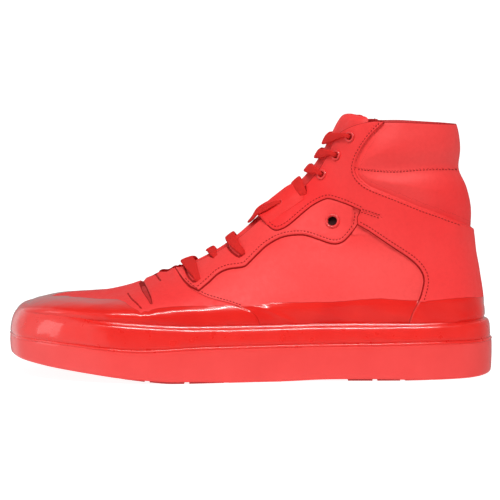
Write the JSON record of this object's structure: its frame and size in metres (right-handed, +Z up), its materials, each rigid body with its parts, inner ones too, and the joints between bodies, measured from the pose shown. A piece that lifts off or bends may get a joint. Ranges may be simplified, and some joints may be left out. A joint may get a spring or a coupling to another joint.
{
  "type": "high-top skate shoe",
  "caption": "Red leather high-top skate shoe with a padded collar, flat laces and a glossy rubber-dipped sole and toe.",
  "frame": {"origin": "centre of the shoe's bounding box on the ground plane, under the sole", "axes": "+X from toe to heel, +Y towards the inner side of the foot (the other foot), +Z up"},
  "size_m": [0.3046, 0.107, 0.1621],
  "materials": {
    "leather": "matte",
    "sole_rubber": "gloss",
    "footbed": "matte",
    "lace": "matte",
    "eyelet": "satin"
  },
  "bodies": {
    "root": {"outsole": "sole_rubber", "midsole": "sole_rubber", "insole": "footbed", "upper": "leather", "tongue": "leather", "lace_1": "lace", "lace_2": "lace", "lace_3": "lace", "lace_4": "lace", "lace_5": "lace", "lace_6": "lace", "lace_7": "lace", "lace_8": "lace", "eyelet_lateral_1": "eyelet", "eyelet_lateral_2": "eyelet", "eyelet_lateral_3": "eyelet", "eyelet_lateral_strap": "eyelet", "eyelet_medial_1": "eyelet", "eyelet_medial_2": "eyelet", "eyelet_medial_3": "eyelet", "eyelet_medial_strap": "eyelet"}
  },
  "joints": []
}
